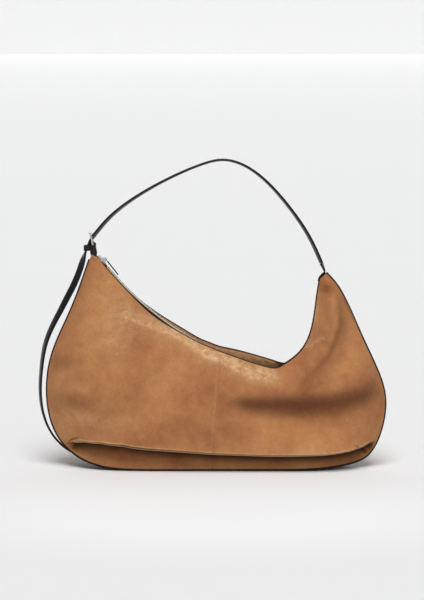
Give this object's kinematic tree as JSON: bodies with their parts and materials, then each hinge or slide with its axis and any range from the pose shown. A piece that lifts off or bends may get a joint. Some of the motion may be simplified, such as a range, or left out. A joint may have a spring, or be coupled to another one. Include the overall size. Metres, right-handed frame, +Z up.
{
  "type": "hobo bag",
  "caption": "Slouchy suede hobo bag with a curved zipped mouth, painted edges and one flat buckled shoulder strap whose loose end hangs at the side.",
  "frame": {"origin": "middle of the flat base that the bag stands on", "axes": "+X along the bag, from the buckle to the sewn end of the strap; +Y from the front to the back; +Z up"},
  "size_m": [0.5126, 0.1053, 0.456],
  "materials": {
    "suede": "napped tan suede",
    "edge_paint": "dark painted edge",
    "lining": "plain woven cotton",
    "board": "fibre board",
    "zip_tape": "woven tape",
    "zip_metal": "polished nickel",
    "strap_leather": "smooth black leather",
    "buckle_metal": "polished nickel"
  },
  "bodies": {
    "bag": {"back_panel_left": "suede", "back_panel_right": "suede", "base_panel": "suede", "base_stiffener": "board", "buckle_tab": "strap_leather", "edge_piping_left": "edge_paint", "edge_piping_right": "edge_paint", "front_panel_left": "suede", "front_panel_right": "suede", "horn_edge": "edge_paint", "keeper_loop": "strap_leather", "lining_back": "lining", "lining_front": "lining", "mouth_edge_back": "edge_paint", "mouth_edge_front": "edge_paint", "mouth_facing_back": "suede", "mouth_facing_front": "suede", "pocket_back": "lining", "pocket_front": "lining", "pocket_zip_tape": "zip_tape", "pocket_zip_teeth": "zip_metal", "strap_end_left": "strap_leather", "strap_end_right": "strap_leather", "strap_tail_top": "strap_leather", "zip_bottom_stop": "zip_metal", "zip_tape_back": "zip_tape", "zip_tape_front": "zip_tape", "zip_teeth_back": "zip_metal", "zip_teeth_front": "zip_metal", "zip_top_stop": "zip_metal"},
    "strap": {"strap_arch": "strap_leather", "buckle_frame": "buckle_metal"},
    "prong": {"buckle_prong": "buckle_metal"},
    "tail": {"strap_tail": "strap_leather"},
    "slider": {"zip_slider": "zip_metal"},
    "pull_ring": {"zip_pull_ring": "zip_metal"},
    "pull_leather": {"zip_pull_leather": "strap_leather"},
    "pocket_slider": {"pocket_zip_slider": "zip_metal"},
    "pocket_pull": {"pocket_zip_pull": "zip_metal"}
  },
  "joints": [
    {"name": "strap_swing", "type": "hinge", "parent": "bag", "child": "strap", "pos_m": [-0.181, 0, 0.3215], "axis": [0.997, 0, -0.0769], "range_deg": [-80, 80], "deforming": ["buckle_tab", "strap_end_left", "strap_end_right"]},
    {"name": "prong_turn", "type": "hinge", "parent": "strap", "child": "prong", "pos_m": [-0.181, 0, 0.3305], "axis": [0, -1, 0], "range_deg": [0, 45]},
    {"name": "tail_swing", "type": "hinge", "parent": "bag", "child": "tail", "pos_m": [-0.1944, 0, 0.313], "axis": [1, 0, 0], "range_deg": [0, 60], "deforming": ["strap_tail_top"]},
    {"name": "zip_slide", "type": "hinge", "parent": "bag", "child": "slider", "pos_m": [0.1912, 0, 0.5852], "axis": [0, -1, 0], "range_deg": [0, 37.73]},
    {"name": "ring_turn", "type": "hinge", "parent": "slider", "child": "pull_ring", "pos_m": [-0.16317, 0, 0.31021], "axis": [0, -1, 0], "range_deg": [0, 100]},
    {"name": "pull_turn", "type": "hinge", "parent": "pull_ring", "child": "pull_leather", "pos_m": [-0.16041, 0, 0.30665], "axis": [0, -1, 0], "range_deg": [0, 60]},
    {"name": "pocket_slide", "type": "slide", "parent": "bag", "child": "pocket_slider", "axis": [1, 0, 0], "range_m": [0, 0.126]},
    {"name": "pocket_pull_turn", "type": "hinge", "parent": "pocket_slider", "child": "pocket_pull", "pos_m": [-0.063, 0.0096, 0.112], "axis": [-1, 0, 0], "range_deg": [0, 80]}
  ]
}
